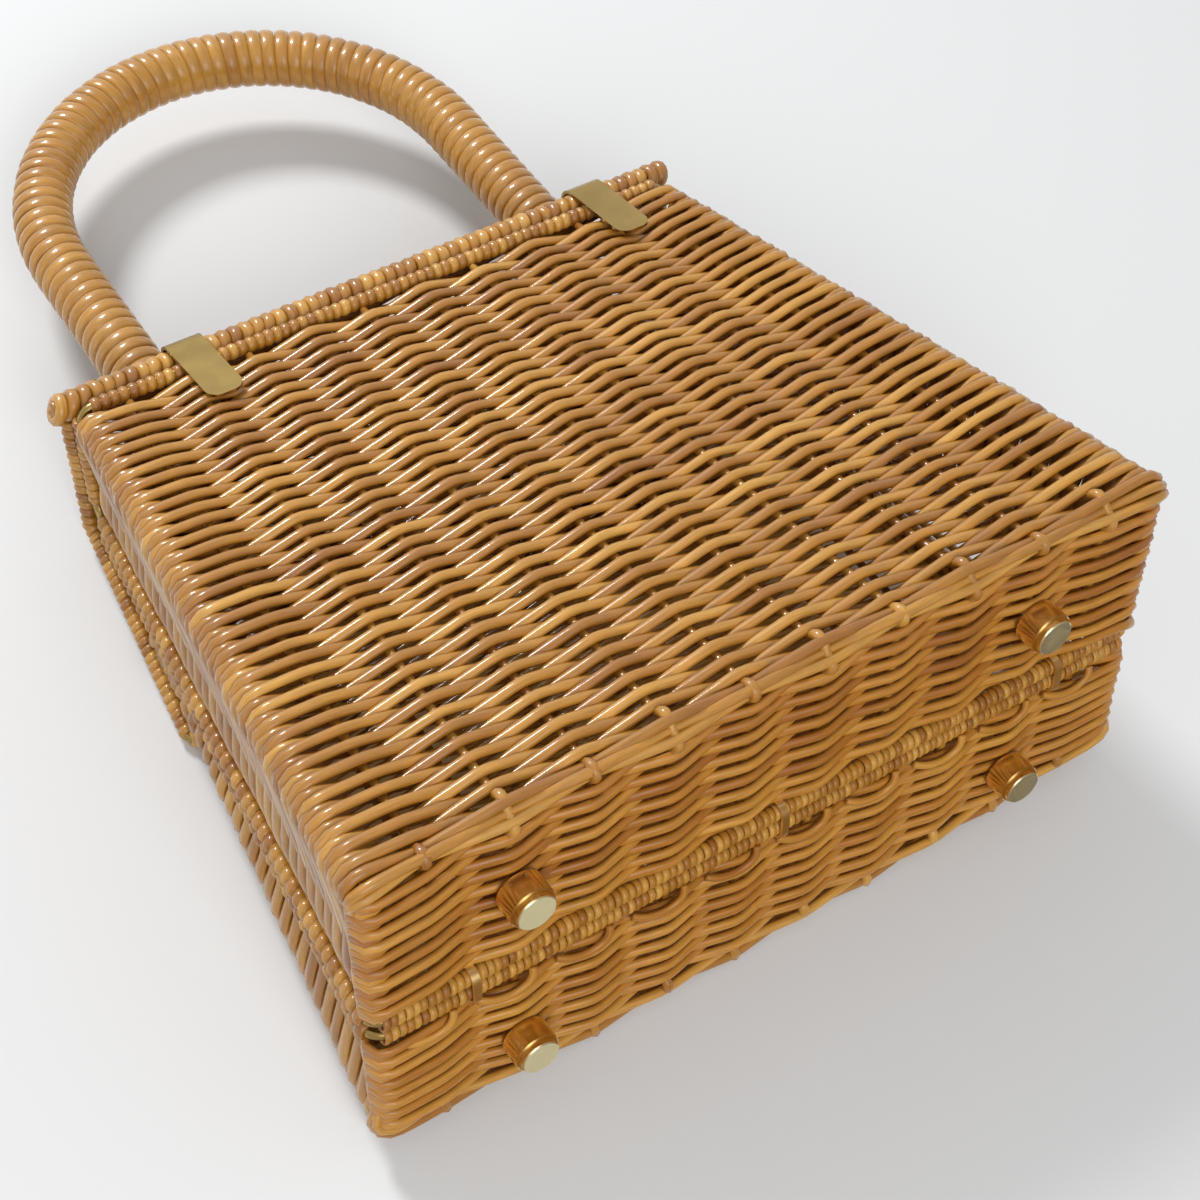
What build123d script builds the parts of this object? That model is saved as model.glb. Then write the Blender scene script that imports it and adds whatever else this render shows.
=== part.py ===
# Wicker box handbag: two woven half shells hinged along the bottom, a lid with a front flap and a
# wound arch handle. The bag stands on four feet at z = 0, its front faces -Y, its back faces +Y.
# All sizes are millimetres.
import os
from math import atan2, cos, degrees, hypot, pi, radians, sin

from build123d import *

os.makedirs("parts", exist_ok=True)

# Woven body
width_bottom = 250.0
width_top = 205.0
body_height = 206.0
back_depth_bottom = 60.0
back_depth_top = 44.0
front_depth_bottom = 47.5
front_depth_top = 7.0
front_bow = 7.0
corner_chamfer = 1.6
weave_thickness = 7.2
ridge_height = 2.2
ridge_foot = 9.4
ridge_crest = 2.4
stake_count = 10
stake_margin = 21.0
side_stake_spacing = 16.0
side_ridge_scale = 0.8
front_side_tip = 2.0
front_side_crest = 0.3

# Gaps of the weave in the back wall
gap_rows = 11
gap_length = 11.0
gap_height = 1.8
gap_margin = 13.0

# Brass rods of the frames and the cane wound on them
rod_radius = 1.5
rod_joint_gap = 0.6
rim_radius = 2.5
rim_waist = 2.2
rim_bead_pitch = 8.0
rim_corner = 6.0
rod_bend = 5.0
seam_gap = 0.6
rod_fit = 0.05
seat_gap = 0.1

# Feet
foot_height = 8.5
foot_radius = 6.4
foot_inset = 44.2
foot_y = 31.0
foot_cap_radius = 5.6
foot_cap_height = 1.6
foot_edge = 0.4
foot_screw_radius = 2.0
foot_washer_radius = 5.0
foot_washer_height = 1.2
screw_end = 0.8

# Rings that hinge the halves at the bottom
ring_inset = 31.0
ring_width = 2.2
ring_thickness = 0.9
ring_clearance = 0.35
ring_side_clearance = 0.9

# Lid
lid_gap = 0.4
lid_roll_radius = 4.6
lid_roll_waist = 4.1
lid_bead_pitch = 7.4
lid_edge_radius = 3.0
lid_edge_waist = 2.6
lid_overhang = 2.0
lid_roll_reach = 1.5
lid_thickness = 4.0
lid_ridge_height = 1.0
flap_length = 80.0
flap_clearance = 1.2

# Strap hinges on the back
strap_x = (62.5, -77.0)
strap_width = 11.5
strap_thickness = 1.0
strap_leg = 29.0
strap_curl = 205.0
strap_end_radius = 4.2
strap_clearance = 0.3
strap_side_clearance = 1.0
strap_stud_radius = 1.0
strap_stud_low = 5.0
strap_stud_pitch = 8.0
strap_plate_height = 15.0
strap_plate_thickness = 0.8

# Handle
handle_radius = 9.6
handle_waist = 8.9
handle_core_radius = 3.0
handle_half_span = 70.9
handle_leg = 72.0
handle_lean = 6.5
handle_behind = 5.5
handle_turns = 34
handle_washer_radius = 7.0
handle_washer_height = 1.5
handle_core_tail = 1.0

# Clasp on the flap
tongue_width = 15.0
tongue_above = 16.0
tongue_below = 13.0
tongue_thickness = 1.2
tongue_lift = 0.7
tongue_rivet_radius = 1.3
tongue_rivet_rise = 9.0
tongue_rivet_spread = 3.5
tongue_rivet_head = 2.4
tongue_rivet_head_height = 0.8
stud_base_radius = 5.2
stud_base_height = 1.0
stud_radius = 3.2

# Values that follow from the sizes above
seam_y = (front_depth_bottom + front_bow - back_depth_bottom) / 2
rim_offset = rim_radius + seam_gap / 2
rim_top = body_height - 2 * rim_radius
wall_top = rim_top - seat_gap
roll_z = body_height + lid_gap + lid_roll_radius
stake_spacing = (width_bottom - 2 * stake_margin) / (stake_count - 1)
foot_x = width_bottom / 2 - foot_inset
ring_x = (ring_inset - width_bottom / 2, 0, width_bottom / 2 - ring_inset)
ring_path_radius = rim_radius + ring_clearance + ring_thickness / 2
ring_reach = rim_offset + ring_path_radius + ring_thickness / 2
stakes = [(i - (stake_count - 1) / 2) * stake_spacing for i in range(stake_count)]


# Outer sizes of the tapered body at a height above the underside
def half_width(z):
    return (width_bottom + (width_top - width_bottom) * z / body_height) / 2


def back_depth(z):
    return back_depth_bottom + (back_depth_top - back_depth_bottom) * z / body_height


def front_depth(z):
    return front_depth_bottom + (front_depth_top - front_depth_bottom) * z / body_height


def front_swell(z):
    return front_bow * max(0, 1 - z / body_height)


# Depth of the front wall in the middle, where it bows out
def front_middle(z):
    return front_depth(z) + front_swell(z)


# How far a bowed face stands out at u, most in the middle and nothing at the corners
def swelled(u, reach, swell):
    return swell * (1 - min(1, abs(u) / reach) ** 3)


roll_y = back_depth(roll_z) - lid_roll_radius - strap_clearance + seat_gap
lid_half_width = half_width(roll_z) + lid_overhang
lid_edge_x = lid_half_width - lid_edge_radius
lid_front_y = -(front_middle(roll_z) + flap_clearance + lid_thickness)
flap_end_z = roll_z - flap_length
handle_y = (roll_y + lid_front_y) / 2 + handle_behind
lid_top_z = roll_z + lid_thickness / 2
lid_under_z = roll_z - lid_thickness / 2


# A point of the model, from a distance behind the seam and a height above the underside
def place(x, y, z):
    return (x, y + seam_y, z + foot_height)


# One ridge of a woven wall for each stake, as points along u with v as the outward face
def ridges(centres, scale, crest, base):
    points = []
    for centre in centres:
        points += [
            (centre - ridge_foot * scale, base),
            (centre - ridge_crest * scale, crest),
            (centre + ridge_crest * scale, crest),
            (centre + ridge_foot * scale, base),
        ]
    return points


# Closed section of a woven wall between two ends, thick at each stake
def wall_section(start, end, centres, scale, face, thickness, height=ridge_height, chamfer=0.0):
    outward = 1 if thickness > 0 else -1
    outer_base = face - outward * height
    inner_base = face - thickness + outward * height
    outer = ridges(centres, scale, face, outer_base)
    if chamfer:
        low = outer_base - outward * chamfer
        outer = [(start, low), (start + chamfer, outer_base)] + outer
        outer += [(end - chamfer, outer_base), (end, low)]
    else:
        outer = [(start, outer_base)] + outer + [(end, outer_base)]
    inner = [(start, inner_base)] + ridges(centres, scale, face - thickness, inner_base)
    inner += [(end, inner_base)]
    return outer + inner[::-1]


def finish_node(builder, name):
    builder.part.label = name
    export_step(builder.part, f"parts/{name}.step")
    print(name, round(builder.part.volume, 1), "mm3")


# Back and front walls: ridged sheets that narrow and lean towards the top
def broad_wall(side, low, high, face_at, swell_at):
    with BuildPart() as wall:
        for z in (low, high):
            scale = half_width(z) / half_width(0)
            reach = half_width(z)
            face = side * face_at(z) + seam_y
            section = wall_section(
                -reach, reach, [s * scale for s in stakes], scale, face, side * weave_thickness,
                chamfer=corner_chamfer,
            )
            section = [(u, v + side * swelled(u, reach, swell_at(z))) for u, v in section]
            with BuildSketch(Plane.XY.offset(z + foot_height)):
                with BuildLine():
                    Polyline(section, close=True)
                make_face()
        loft(ruled=True)
    return wall


# Side walls run from the seam rim to the inner face of the broad wall
def side_wall(side, hand, low, high, face_at, centres_at):
    with BuildPart() as wall:
        for z in (low, high):
            start = side * (rim_offset + rim_radius + seat_gap)
            end = side * (face_at(z) - weave_thickness - seat_gap)
            face = hand * half_width(z)
            section = wall_section(
                start, end, centres_at(z), side_ridge_scale, face, hand * weave_thickness
            )
            with BuildSketch(Plane.XY.offset(z + foot_height)):
                with BuildLine():
                    Polyline([(v, u + seam_y) for u, v in section], close=True)
                make_face()
        loft(ruled=True)
    return wall


# Floor of a half: ridges run from the seam towards the broad wall, notched at the rings
floor_stations = [s + step * ridge_foot for s in stakes for step in (-1, 1)]


def floor_wall(side, depth, swell):
    near = rim_offset + rim_radius + seat_gap
    far = depth - weave_thickness - seat_gap
    edge = max(side * near, side * (far + swell))
    reach = half_width(0)
    section = wall_section(
        -half_width(0), half_width(0), stakes, 1.0, 0.0, -weave_thickness
    )
    with BuildPart() as wall:
        plane = Plane(place(0, edge, 0), x_dir=(1, 0, 0), z_dir=(0, -1, 0))
        with BuildSketch(plane):
            with BuildLine():
                Polyline(section, close=True)
            make_face()
        extrude(amount=far + swell - near)
        outline = [(-reach, near), (-reach, far)]
        outline += [(u, far + swelled(u, reach, swell)) for u in floor_stations]
        outline += [(reach, far), (reach, near)]
        with BuildSketch(Plane.XY.offset(foot_height)):
            with BuildLine():
                Polyline([(u, side * v + seam_y) for u, v in outline], close=True)
            make_face()
        extrude(amount=weave_thickness, mode=Mode.INTERSECT)
        notch_width = ring_width + 2 * ring_side_clearance
        notch_depth = ring_reach + ring_side_clearance - near
        with Locations(*[place(x, side * near, weave_thickness / 2) for x in ring_x]):
            Box(notch_width, 2 * notch_depth, 2 * weave_thickness, mode=Mode.SUBTRACT)
        with Locations(*[place(x, side * foot_y, weave_thickness / 2) for x in (-foot_x, foot_x)]):
            Cylinder(foot_screw_radius + rod_fit, 2 * weave_thickness, mode=Mode.SUBTRACT)
    return wall


# A straight tube of wound cane: round turns with a waist between them and a bore for the rod
def wound_tube(start, end, crest, waist, pitch, bore):
    start, end = Vector(*start), Vector(*end)
    run = end - start
    turns = max(2, round(run.length / pitch))
    step = run.length / turns
    profile = [(0, bore), (0, waist)]
    for i in range(turns):
        profile += [((i + 0.25) * step, crest), ((i + 0.75) * step, crest), ((i + 1) * step, waist)]
    profile += [(run.length, bore)]
    upright = Vector(0, 0, 1) if abs(run.normalized().Z) < 0.7 else Vector(0, 1, 0)
    with BuildPart() as tube:
        plane = Plane(start, x_dir=run, z_dir=run.cross(upright).normalized())
        with BuildSketch(plane):
            with BuildLine():
                Polyline(profile, close=True)
            make_face()
        revolve(axis=Axis(start, run))
    return tube.part


# A bent rod along corner points, from the middle of its first run round to the same place
def rod_loop(name, corners, bend):
    first, last = Vector(*corners[0]), Vector(*corners[-1])
    middle = (first + last) / 2
    along = (first - last).normalized() * rod_joint_gap / 2
    points = [middle + along] + [Vector(*c) for c in corners] + [middle - along]
    with BuildPart() as rod:
        with BuildLine() as path:
            FilletPolyline(points, radius=bend)
        with BuildSketch(Plane(origin=path.line @ 0, z_dir=path.line % 0)):
            Circle(rod_radius)
        sweep()
    finish_node(rod, name)


# Cane wound on straight runs between corners, each run a solid of its own
def wound_group(name, runs):
    with BuildPart() as group:
        for start, end, crest, waist, pitch in runs:
            add(wound_tube(start, end, crest, waist, pitch, rod_radius + rod_fit))
    finish_node(group, name)


# The same run drawn in from both corners, so that the rod shows there
def drawn_in(start, end, amount_start, amount_end):
    start, end = Vector(*start), Vector(*end)
    along = (end - start).normalized()
    return tuple(start + along * amount_start), tuple(end - along * amount_end)


# Back half shell
back_wall = broad_wall(1, 0, wall_top, back_depth, lambda z: 0.0)
with back_wall:
    gap_places = []
    for row in range(gap_rows):
        z = gap_margin + (wall_top - 2 * gap_margin) * row / (gap_rows - 1)
        scale = half_width(z) / half_width(0)
        for s in stakes:
            gap_places.append(place(s * scale, back_depth(z) - weave_thickness / 2, z))
    with Locations(*gap_places):
        Box(gap_length, 3 * weave_thickness, gap_height, mode=Mode.SUBTRACT)
    strap_low_z = roll_z - strap_leg
    stud_heights = (strap_low_z + strap_stud_low, strap_low_z + strap_stud_low + strap_stud_pitch)
    for z in stud_heights:
        with Locations(*[place(x, back_depth(z), z) for x in strap_x]):
            Cylinder(
                strap_stud_radius + rod_fit, 4 * weave_thickness, rotation=(90, 0, 0),
                mode=Mode.SUBTRACT,
            )
finish_node(back_wall, "back_wall")


def back_side_stakes(z):
    centre = (rim_offset + rim_radius + back_depth(z) - weave_thickness) / 2
    return [centre - side_stake_spacing / 2, centre + side_stake_spacing / 2]


for hand, name in ((1, "back_left_wall"), (-1, "back_right_wall")):
    back_side = side_wall(1, hand, weave_thickness + seat_gap, wall_top, back_depth, back_side_stakes)
    finish_node(back_side, name)
finish_node(floor_wall(1, back_depth(weave_thickness), 0.0), "back_floor")

rim_low = rim_radius
rim_high = body_height - rim_radius
rim_x_low = half_width(rim_low) - rim_radius
rim_x_high = half_width(rim_high) - rim_radius
back_rim_y = back_depth(rim_high) - rim_radius
back_rim_corners = [
    place(rim_x_low, rim_offset, rim_low),
    place(rim_x_high, rim_offset, rim_high),
    place(rim_x_high, back_rim_y, rim_high),
    place(-rim_x_high, back_rim_y, rim_high),
    place(-rim_x_high, rim_offset, rim_high),
    place(-rim_x_low, rim_offset, rim_low),
]
rod_loop("back_rim_rod", back_rim_corners, rod_bend)
back_rim_runs = []
for i in range(len(back_rim_corners)):
    start = back_rim_corners[i]
    end = back_rim_corners[(i + 1) % len(back_rim_corners)]
    low, high = drawn_in(start, end, rim_corner, rim_corner)
    back_rim_runs.append((low, high, rim_radius, rim_waist, rim_bead_pitch))
wound_group("back_rim_winding", back_rim_runs)

# Front half shell
notch_low = rim_offset + rim_radius + weave_thickness + 2 * seat_gap
notch_height = (notch_low - front_depth_top) * body_height / (front_depth_bottom - front_depth_top)
front_wall = broad_wall(-1, 0, wall_top, front_depth, front_swell)
with front_wall:
    notch_middle = body_height - notch_height / 2
    corners = [place(hand * half_width(notch_middle), 0, notch_middle) for hand in (-1, 1)]
    with Locations(*corners):
        Box(
            4 * rim_radius + ridge_foot, 2 * (rim_offset + rim_radius + seat_gap), notch_height,
            mode=Mode.SUBTRACT,
        )
finish_node(front_wall, "front_wall")
side_reach = rim_offset + rim_radius + weave_thickness + 2 * seat_gap
side_taper = (front_depth_bottom - front_depth_top) / body_height
front_side_top = (front_depth_bottom - side_reach - front_side_tip) / side_taper


# The side walls of the front half close to a point near the top
def front_side_wall(hand):
    with BuildPart() as wall:
        near = rim_offset + rim_radius + seat_gap
        low = weave_thickness + seat_gap
        for z in (low, front_side_top):
            far = front_depth(z) - weave_thickness - seat_gap
            half = (far - near) / 2
            centre = -(far + near) / 2
            outer = hand * half_width(z)
            inner = hand * (half_width(z) - weave_thickness)
            base = hand * ridge_height
            points = [
                (outer - base, centre + half),
                (outer, centre + half * front_side_crest),
                (outer, centre - half * front_side_crest),
                (outer - base, centre - half),
                (inner + base, centre - half),
                (inner, centre - half * front_side_crest),
                (inner, centre + half * front_side_crest),
                (inner + base, centre + half),
            ]
            with BuildSketch(Plane.XY.offset(z + foot_height)):
                with BuildLine():
                    Polyline([(x, y + seam_y) for x, y in points], close=True)
                make_face()
        loft(ruled=True)
    return wall


for hand, name in ((1, "front_left_wall"), (-1, "front_right_wall")):
    finish_node(front_side_wall(hand), name)
front_floor = floor_wall(-1, front_depth(weave_thickness), front_swell(weave_thickness))
finish_node(front_floor, "front_floor")

front_rim_corners = [
    place(rim_x_low, -rim_offset, rim_low),
    place(rim_x_high, -rim_offset, rim_high),
    place(-rim_x_high, -rim_offset, rim_high),
    place(-rim_x_low, -rim_offset, rim_low),
]
rod_loop("front_rim_rod", front_rim_corners, rod_bend)
front_rim_runs = []
for i in range(len(front_rim_corners)):
    start = front_rim_corners[i]
    end = front_rim_corners[(i + 1) % len(front_rim_corners)]
    low, high = drawn_in(start, end, rim_corner, rim_corner)
    front_rim_runs.append((low, high, rim_radius, rim_waist, rim_bead_pitch))
wound_group("front_rim_winding", front_rim_runs)

# Rings round both rim windings at the bottom seam
for i, x in enumerate(ring_x):
    with BuildPart() as ring:
        plane = Plane(place(x, 0, rim_low), x_dir=(0, 1, 0), z_dir=(1, 0, 0))
        with BuildSketch(plane):
            SlotOverall(2 * ring_reach, 2 * ring_path_radius + ring_thickness)
            SlotOverall(
                2 * ring_reach - 2 * ring_thickness, 2 * ring_path_radius - ring_thickness,
                mode=Mode.SUBTRACT,
            )
        extrude(amount=ring_width / 2, both=True)
    finish_node(ring, f"hinge_ring_{i + 1}")

# Feet with their screws, and the washers inside
foot_places = {
    "back_left": (foot_x, foot_y),
    "back_right": (-foot_x, foot_y),
    "front_left": (foot_x, -foot_y),
    "front_right": (-foot_x, -foot_y),
}
screw_top = weave_thickness + foot_washer_height + screw_end
for name, (x, y) in foot_places.items():
    with BuildPart() as foot:
        with BuildSketch(Plane(place(x, y, 0), x_dir=(1, 0, 0), z_dir=(0, -1, 0))):
            with BuildLine():
                Polyline(
                    (0, -foot_height),
                    (foot_cap_radius - foot_edge, -foot_height),
                    (foot_cap_radius, foot_edge - foot_height),
                    (foot_cap_radius, foot_cap_height - foot_height),
                    (foot_radius - foot_edge, foot_cap_height - foot_height),
                    (foot_radius, foot_cap_height + foot_edge - foot_height),
                    (foot_radius, 0),
                    (foot_screw_radius, 0),
                    (foot_screw_radius, screw_top),
                    (0, screw_top),
                    close=True,
                )
            make_face()
        revolve(axis=Axis(place(x, y, 0), (0, 0, 1)))
    finish_node(foot, f"foot_{name}")
    with BuildPart() as washer:
        with BuildSketch(Plane.XY.offset(weave_thickness + foot_height)):
            with Locations((x, y + seam_y)):
                Circle(foot_washer_radius)
                Circle(foot_screw_radius + rod_fit, mode=Mode.SUBTRACT)
        extrude(amount=foot_washer_height)
    finish_node(washer, f"foot_washer_{name}")

# Lid: top sheet, notched behind for the straps and bored for the handle
lean_up = Vector(0, sin(radians(handle_lean)), cos(radians(handle_lean)))
leg_feet = [Vector(*place(hand * handle_half_span, handle_y, lid_top_z)) for hand in (-1, 1)]
lid_back_edge = roll_y - lid_roll_radius - seat_gap
lid_sheet_half = lid_edge_x - lid_edge_radius - seat_gap
lid_scale = lid_half_width / half_width(0)
with BuildPart() as lid_top:
    section = wall_section(
        -lid_sheet_half, lid_sheet_half, [s * lid_scale for s in stakes[1:-1]], lid_scale,
        lid_top_z, lid_thickness, lid_ridge_height,
    )
    with BuildSketch(Plane(place(0, lid_back_edge, 0), x_dir=(1, 0, 0), z_dir=(0, -1, 0))):
        with BuildLine():
            Polyline(section, close=True)
        make_face()
    extrude(amount=lid_back_edge - lid_front_y)
    notch_width = strap_width + 2 * strap_side_clearance
    notch_reach = 2 * (strap_thickness + strap_clearance + strap_side_clearance)
    with Locations(*[place(x, lid_back_edge, roll_z) for x in strap_x]):
        Box(notch_width, notch_reach, 2 * lid_thickness, mode=Mode.SUBTRACT)
    for foot_point in leg_feet:
        with Locations(Plane(foot_point, z_dir=lean_up)):
            Cylinder(handle_core_radius + seat_gap, 6 * lid_thickness, mode=Mode.SUBTRACT)
finish_node(lid_top, "lid_top")


# Flap: hangs from the front edge of the top sheet, parallel to the front wall
def flap_face(z):
    return -(front_middle(z) + flap_clearance + lid_thickness)


front_lean = degrees(atan2(front_middle(0) - front_middle(body_height), body_height))
tongue_z = flap_end_z + (tongue_above - tongue_below) / 2
tongue_length = tongue_above + tongue_below
front_out = Vector(0, -cos(radians(front_lean)), sin(radians(front_lean)))
tongue_seat = Vector(*place(0, flap_face(tongue_z), tongue_z)) + front_out * tongue_lift
tongue_plane = Plane(tongue_seat, x_dir=(1, 0, 0), z_dir=front_out)
rivet_v = tongue_rivet_rise - (tongue_z - flap_end_z) / cos(radians(front_lean))
rivet_places = [(-tongue_rivet_spread, rivet_v), (tongue_rivet_spread, rivet_v)]

flap_edge_radius = rim_radius + 0.1
flap_edge_waist = rim_waist + 0.1
flap_sheet_low = flap_end_z + 2 * flap_edge_radius + seat_gap
flap_sheet_high = lid_under_z - seat_gap
with BuildPart() as flap:
    for z in (flap_sheet_low, flap_sheet_high):
        scale = half_width(z) / half_width(0)
        reach = half_width(z) + lid_overhang - lid_edge_radius - flap_edge_radius - seat_gap
        section = wall_section(
            -reach, reach, [s * scale for s in stakes[1:-1]], scale, flap_face(z) + seam_y,
            -lid_thickness, lid_ridge_height,
        )
        with BuildSketch(Plane.XY.offset(z + foot_height)):
            with BuildLine():
                Polyline(section, close=True)
            make_face()
    loft(ruled=True)
    with Locations(tongue_plane):
        with Locations(*rivet_places):
            Cylinder(tongue_rivet_radius + rod_fit, 8 * lid_thickness, mode=Mode.SUBTRACT)
finish_node(flap, "flap")

# Frame rod of the lid and flap, with its windings
edge_end_z = flap_end_z + flap_edge_radius
edge_y_top = lid_front_y + lid_thickness / 2
edge_y_end = flap_face(edge_end_z) + lid_thickness / 2
edge_x_end = half_width(edge_end_z) + lid_overhang - flap_edge_radius
lid_corners = [
    place(lid_edge_x, roll_y, roll_z),
    place(lid_edge_x, edge_y_top, roll_z),
    place(edge_x_end, edge_y_end, edge_end_z),
    place(-edge_x_end, edge_y_end, edge_end_z),
    place(-lid_edge_x, edge_y_top, roll_z),
    place(-lid_edge_x, roll_y, roll_z),
]
rod_loop("lid_rod", lid_corners, rod_bend / 2)

roll_end = lid_half_width + lid_roll_reach
with BuildPart() as lid_roll:
    add(
        wound_tube(
            place(-roll_end, roll_y, roll_z), place(roll_end, roll_y, roll_z),
            lid_roll_radius, lid_roll_waist, lid_bead_pitch, rod_radius + rod_fit,
        )
    )
    with Locations(*[place(hand * lid_edge_x, roll_y - lid_roll_radius, roll_z) for hand in (-1, 1)]):
        Box(
            2 * (rod_bend + rod_radius), 2 * lid_roll_radius, 2 * (rod_radius + seat_gap),
            mode=Mode.SUBTRACT,
        )
finish_node(lid_roll, "lid_roll")

lid_runs = []
edge_shapes = [
    (0, 1, lid_edge_radius, lid_edge_waist, lid_roll_radius + seat_gap, rod_bend),
    (1, 2, flap_edge_radius, flap_edge_waist, rod_bend, rod_bend),
    (2, 3, flap_edge_radius, flap_edge_waist, rod_bend, rod_bend),
    (3, 4, flap_edge_radius, flap_edge_waist, rod_bend, rod_bend),
    (4, 5, lid_edge_radius, lid_edge_waist, rod_bend, lid_roll_radius + seat_gap),
]
for first, last, crest, waist, inset_first, inset_last in edge_shapes:
    start, end = drawn_in(lid_corners[first], lid_corners[last], inset_first, inset_last)
    lid_runs.append((start, end, crest, waist, rim_bead_pitch))
wound_group("lid_edge_winding", lid_runs)

# Strap hinges: a plate on the back wall that curls over the lid roll
wall_lean = atan2(back_depth_bottom - back_depth_top, body_height)
curl_radius = lid_roll_radius + strap_clearance + strap_thickness / 2
for name, x in (("left", strap_x[0]), ("right", strap_x[1])):
    with BuildPart() as strap:
        plane = Plane(place(x, roll_y, roll_z), x_dir=(0, 1, 0), z_dir=(1, 0, 0))
        with BuildSketch(plane):
            with BuildLine() as strap_line:
                curl = CenterArc((0, 0), curl_radius, degrees(wall_lean), strap_curl)
                leg_end = (
                    curl_radius * cos(wall_lean) + strap_leg * sin(wall_lean),
                    curl_radius * sin(wall_lean) - strap_leg * cos(wall_lean),
                )
                Line(curl @ 0, leg_end)
            trace(line_width=strap_thickness)
        extrude(amount=strap_width / 2, both=True)
        outline = Plane(place(x, roll_y + 4 * curl_radius, roll_z), x_dir=(1, 0, 0), z_dir=(0, -1, 0))
        with BuildSketch(outline):
            Rectangle(strap_width, -2 * leg_end[1])
            fillet(vertices().group_by(Axis.Y)[0], strap_end_radius)
        extrude(amount=8 * curl_radius, mode=Mode.INTERSECT)
        for z in stud_heights:
            inner = back_depth(z) - weave_thickness - strap_plate_thickness
            stud_plane = Plane(place(x, inner, z), x_dir=(1, 0, 0), z_dir=(0, 1, 0))
            with BuildSketch(stud_plane):
                Circle(strap_stud_radius)
            extrude(amount=weave_thickness + strap_plate_thickness + strap_thickness / 2)
    finish_node(strap, f"strap_{name}")
    with BuildPart() as plate:
        middle_z = sum(stud_heights) / 2
        inner_y = back_depth(middle_z + strap_plate_height / 2) - weave_thickness
        with Locations(place(x, inner_y - strap_plate_thickness / 2, middle_z)):
            Box(strap_width, strap_plate_thickness, strap_plate_height)
        for z in stud_heights:
            with Locations(place(x, inner_y, z)):
                Cylinder(
                    strap_stud_radius + rod_fit, weave_thickness, rotation=(90, 0, 0),
                    mode=Mode.SUBTRACT,
                )
    finish_node(plate, f"strap_plate_{name}")

# Handle: a core bent to an arch, leaning back a little, closely wound with cane
handle_plane = Plane(place(0, handle_y, lid_top_z), x_dir=(1, 0, 0), z_dir=(0, -1, 0)).rotated(
    (-handle_lean, 0, 0)
)
tail = lid_thickness + handle_washer_height + handle_core_tail
with BuildPart() as handle_core:
    with BuildLine(handle_plane) as core_path:
        Line((-handle_half_span, -tail), (-handle_half_span, handle_leg))
        CenterArc((0, handle_leg), handle_half_span, 180, -180)
        Line((handle_half_span, handle_leg), (handle_half_span, -tail))
    with BuildSketch(Plane(origin=core_path.line @ 0, z_dir=core_path.line % 0)):
        Circle(handle_core_radius)
    sweep()
finish_node(handle_core, "handle_core")

with BuildPart() as handle_winding:
    with BuildLine(handle_plane) as winding_path:
        Line((-handle_half_span, -handle_waist / 4), (-handle_half_span, handle_leg))
        CenterArc((0, handle_leg), handle_half_span, 180, -180)
        Line((handle_half_span, handle_leg), (handle_half_span, -handle_waist / 4))
    line = winding_path.wires()[0]
    for i in range(2 * handle_turns + 1):
        t = i / (2 * handle_turns)
        with BuildSketch(Plane(origin=line @ t, x_dir=(0, 1, 0), z_dir=line % t)):
            Circle(handle_waist if i % 2 == 0 else handle_radius)
    loft(ruled=True)
    split(bisect_by=Plane.XY.offset(lid_top_z + foot_height), keep=Keep.TOP)
    with BuildSketch(Plane(origin=core_path.line @ 0, z_dir=core_path.line % 0)) as bore:
        Circle(handle_core_radius + rod_fit)
    sweep(bore.sketch, path=core_path.wires()[0], mode=Mode.SUBTRACT)
finish_node(handle_winding, "handle_winding")

for name, foot_point in (("right", leg_feet[0]), ("left", leg_feet[1])):
    with BuildPart() as handle_washer:
        top = lid_under_z + foot_height
        centre = foot_point - lean_up * (lid_thickness / lean_up.Z)
        with BuildSketch(Plane.XY.offset(top - handle_washer_height)):
            with Locations((centre.X, centre.Y)):
                Circle(handle_washer_radius)
        extrude(amount=handle_washer_height)
        with Locations(Plane(foot_point, z_dir=lean_up)):
            Cylinder(handle_core_radius + seat_gap, 6 * lid_thickness, mode=Mode.SUBTRACT)
    finish_node(handle_washer, f"handle_washer_{name}")

# Clasp: a tongue riveted to the flap lies over a stud on the front wall
with BuildPart() as clasp_tongue:
    with BuildSketch(tongue_plane):
        SlotOverall(tongue_length, tongue_width, rotation=90)
    extrude(amount=tongue_thickness)
    with Locations(tongue_plane):
        with Locations(*rivet_places):
            Cylinder(tongue_rivet_radius + rod_fit, 4 * tongue_thickness, mode=Mode.SUBTRACT)
finish_node(clasp_tongue, "clasp_tongue")
for i, (u, v) in enumerate(rivet_places):
    with BuildPart() as rivet:
        with BuildSketch(tongue_plane.offset(tongue_thickness)):
            with Locations((u, v)):
                Circle(tongue_rivet_head)
        extrude(amount=tongue_rivet_head_height)
        with BuildSketch(tongue_plane.offset(tongue_thickness)):
            with Locations((u, v)):
                Circle(tongue_rivet_radius)
        extrude(amount=-(tongue_thickness + tongue_lift + lid_thickness))
    finish_node(rivet, f"clasp_rivet_{i + 1}")

stud_z = flap_end_z - tongue_below / 2
stud_seat = Vector(*place(0, -front_middle(stud_z), stud_z))
stud_reach = (flap_clearance + lid_thickness) * cos(radians(front_lean)) + tongue_lift
with BuildPart() as clasp_stud:
    stud_plane = Plane(stud_seat, x_dir=(1, 0, 0), z_dir=front_out)
    with BuildSketch(stud_plane):
        Circle(stud_base_radius)
    extrude(amount=stud_base_height)
    with BuildSketch(stud_plane):
        Circle(stud_radius)
    extrude(amount=stud_reach - seam_gap / 2)
finish_node(clasp_stud, "clasp_stud")
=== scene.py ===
from math import cos, pi, radians, sin, tau

import bpy
import numpy as np
from mathutils import Euler, Matrix, Vector


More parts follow.
